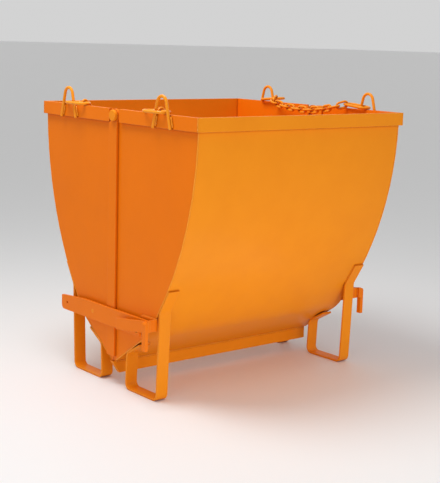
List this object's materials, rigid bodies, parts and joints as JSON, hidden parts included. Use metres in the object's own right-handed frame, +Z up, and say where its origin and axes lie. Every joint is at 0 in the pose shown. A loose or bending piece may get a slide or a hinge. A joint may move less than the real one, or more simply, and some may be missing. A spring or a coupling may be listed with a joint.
{
  "type": "hoist bucket",
  "caption": "Clamshell hoist bucket: half shells hinged at the rim, latched by levers below, on bent bar feet, with lifting loops and chain.",
  "frame": {"origin": "on the floor, under the middle of the bucket's bounding box", "axes": "+X along the hinge from the left end (nearer in the picture) to the right end, +Y to the rear half, +Z up"},
  "size_m": [1.144, 1.03, 1.148],
  "materials": {
    "shell_paint": "orange gloss paint on steel sheet",
    "bar_paint": "orange gloss paint on steel bar",
    "wire_paint": "orange gloss paint on round bar and chain",
    "pin_paint": "orange gloss paint over pins and washers"
  },
  "bodies": {
    "rear_half": {"chain_left": "wire_paint", "chain_right": "wire_paint", "hinge_cotters": "pin_paint", "hinge_pin_left": "pin_paint", "hinge_pin_right": "pin_paint", "hinge_washers": "pin_paint", "lever_bush_left": "pin_paint", "lever_bush_right": "pin_paint", "rear_end_plate_left": "shell_paint", "rear_end_plate_right": "shell_paint", "rear_foot_left": "bar_paint", "rear_foot_right": "bar_paint", "rear_lip": "bar_paint", "rear_loop_left": "wire_paint", "rear_loop_right": "wire_paint", "rear_rim_end_left": "bar_paint", "rear_rim_end_right": "bar_paint", "rear_rim_side": "bar_paint", "rear_wall": "shell_paint", "seam_strip_left": "bar_paint", "seam_strip_right": "bar_paint"},
    "front_half": {"catch_bracket_left": "bar_paint", "catch_bracket_right": "bar_paint", "catch_pin_left": "pin_paint", "catch_pin_right": "pin_paint", "catch_post_left": "bar_paint", "catch_post_right": "bar_paint", "catch_strap_left": "bar_paint", "catch_strap_right": "bar_paint", "front_end_plate_left": "shell_paint", "front_end_plate_right": "shell_paint", "front_foot_left": "bar_paint", "front_foot_right": "bar_paint", "front_lip": "bar_paint", "front_loop_left": "wire_paint", "front_loop_right": "wire_paint", "front_rim_end_left": "bar_paint", "front_rim_end_right": "bar_paint", "front_rim_side": "bar_paint", "front_wall": "shell_paint", "hinge_lug_left": "bar_paint", "hinge_lug_right": "bar_paint"},
    "left_lever": {"latch_lever_left": "bar_paint", "lever_cotter_left": "pin_paint", "lever_pin_left": "pin_paint", "lever_washer_left": "pin_paint"},
    "right_lever": {"latch_lever_right": "bar_paint", "lever_cotter_right": "pin_paint", "lever_pin_right": "pin_paint", "lever_washer_right": "pin_paint"},
    "front_sling_link_left": {"front_sling_link_left": "wire_paint"},
    "front_sling_link_right": {"front_sling_link_right": "wire_paint"},
    "rear_sling_link_left": {"rear_sling_link_left": "wire_paint"},
    "rear_sling_link_right": {"rear_sling_link_right": "wire_paint"}
  },
  "joints": [
    {"name": "front_swing", "type": "hinge", "parent": "rear_half", "child": "front_half", "pos_m": [0, 0, 1.053], "axis": [-1, 0, 0], "range_deg": [0, 50], "deforming": ["chain_right", "chain_left"]},
    {"name": "left_lever_turn", "type": "hinge", "parent": "rear_half", "child": "left_lever", "pos_m": [-0.525, 0.12, 0.273], "axis": [-1, 0, 0], "range_deg": [-2.6, 20]},
    {"name": "right_lever_turn", "type": "hinge", "parent": "rear_half", "child": "right_lever", "pos_m": [0.525, 0.12, 0.273], "axis": [-1, 0, 0], "range_deg": [-2.6, 20]},
    {"name": "rear_left_sling_swing", "type": "hinge", "parent": "rear_half", "child": "rear_sling_link_left", "pos_m": [-0.5135, 0.324, 1.0843], "axis": [-1, 0, 0], "range_deg": [0, 15], "deforming": ["chain_left"]},
    {"name": "rear_right_sling_swing", "type": "hinge", "parent": "rear_half", "child": "rear_sling_link_right", "pos_m": [0.5135, 0.324, 1.0843], "axis": [-1, 0, 0], "range_deg": [0, 15], "deforming": ["chain_right"]},
    {"name": "front_left_sling_swing", "type": "hinge", "parent": "front_half", "child": "front_sling_link_left", "pos_m": [-0.5135, -0.324, 1.0843], "axis": [1, 0, 0], "range_deg": [0, 15], "deforming": ["chain_left"]},
    {"name": "front_right_sling_swing", "type": "hinge", "parent": "front_half", "child": "front_sling_link_right", "pos_m": [0.5135, -0.324, 1.0843], "axis": [1, 0, 0], "range_deg": [0, 15], "deforming": ["chain_right"]}
  ]
}
